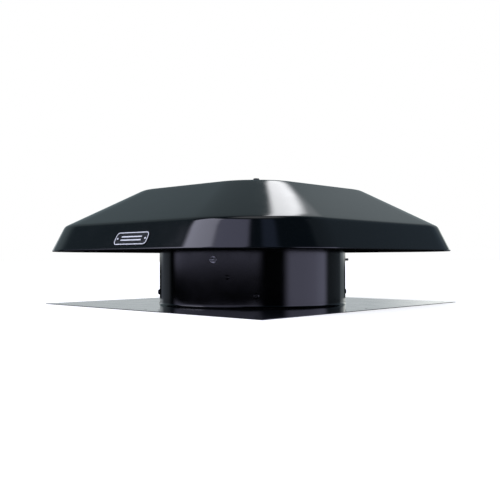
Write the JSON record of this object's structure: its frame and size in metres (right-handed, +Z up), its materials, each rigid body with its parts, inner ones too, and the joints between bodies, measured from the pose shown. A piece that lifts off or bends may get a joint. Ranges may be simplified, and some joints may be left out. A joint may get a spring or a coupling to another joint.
{
  "type": "solar attic fan",
  "caption": "Roof-mounted attic exhaust fan: square flashing, round throat and square hood over a low-voltage fan, with an inlet gland for a remote panel's lead.",
  "frame": {"origin": "centre of the flashing's underside, on the fan's axis", "axes": "+Z up along the fan's axis; -Y towards the skirt face that carries the blank badge; X along a flashing side"},
  "size_m": [0.68, 0.68, 0.2351],
  "materials": {
    "black_powder_coat": "gloss black powder coat on sheet steel",
    "black_fastener": "semi-gloss black coated screw heads",
    "blank_badge": "satin, blank",
    "zinc_plate": "bright zinc plate on bent sheet",
    "zinc_fastener": "bright zinc plate",
    "stainless_steel": "drawn and ground stainless",
    "lamination_steel": "stacked laminations",
    "magnet": "sintered, dull",
    "copper_winding": "enamelled copper wire",
    "circuit_board": "solder mask",
    "rubber": "matte moulded rubber",
    "lead_jacket": "satin cable jacket",
    "box_plastic": "fine moulded texture",
    "phenolic": "moulded phenolic",
    "terminal_plastic": "natural nylon",
    "fan_aluminium": "mill-finish sheet",
    "cast_aluminium": "cast and lightly blasted"
  },
  "bodies": {
    "housing": {"flashing": "black_powder_coat", "throat": "black_powder_coat", "hood": "black_powder_coat", "badge_plate": "blank_badge", "hood_strut_front": "zinc_plate", "hood_strut_right": "zinc_plate", "hood_strut_back": "zinc_plate", "hood_strut_left": "zinc_plate", "strut_screws": "black_fastener", "strut_nuts": "zinc_fastener", "hood_bolts": "black_fastener", "hood_seal_washers": "rubber", "hood_nuts": "zinc_fastener", "screen_hoops": "stainless_steel", "screen_wires": "stainless_steel", "screen_band": "zinc_plate", "motor_bracket": "zinc_plate", "bracket_grommets": "rubber", "bracket_bolts": "zinc_fastener", "bracket_washers": "zinc_fastener", "bracket_nuts": "zinc_fastener", "motor_can": "black_powder_coat", "motor_cap": "cast_aluminium", "stator_core": "lamination_steel", "stator_windings": "copper_winding", "driver_board": "circuit_board", "upper_bearing": "stainless_steel", "lower_bearing": "stainless_steel", "motor_through_bolts": "zinc_fastener", "motor_nuts": "zinc_fastener", "motor_grommet": "rubber", "motor_lead": "lead_jacket", "lead_clips": "rubber", "control_box": "box_plastic", "control_box_lid": "box_plastic", "box_lid_screws": "zinc_fastener", "box_wall_screw": "black_fastener", "box_wall_nut": "zinc_fastener", "box_grommet": "rubber", "solar_gland": "box_plastic", "gland_nut": "box_plastic", "thermostat_switch": "phenolic", "terminal_block": "terminal_plastic"},
    "rotor": {"motor_shaft": "stainless_steel", "rotor_core": "lamination_steel", "rotor_magnets": "magnet", "fan_boss": "fan_aluminium", "fan_spider": "fan_aluminium", "fan_set_screw": "stainless_steel", "fan_blade_1": "fan_aluminium", "fan_blade_2": "fan_aluminium", "fan_blade_3": "fan_aluminium", "fan_blade_4": "fan_aluminium", "fan_blade_5": "fan_aluminium", "blade_rivets": "stainless_steel"},
    "dial": {"thermostat_knob": "box_plastic"}
  },
  "joints": [
    {"name": "rotor_spin", "type": "hinge", "parent": "housing", "child": "rotor", "pos_m": [0, 0, 0.12], "axis": [0, 0, 1], "continuous": true},
    {"name": "dial_turn", "type": "hinge", "parent": "housing", "child": "dial", "pos_m": [0.07095, -0.15275, 0.011], "axis": [0, 0, -1], "range_deg": [0, 270]}
  ]
}
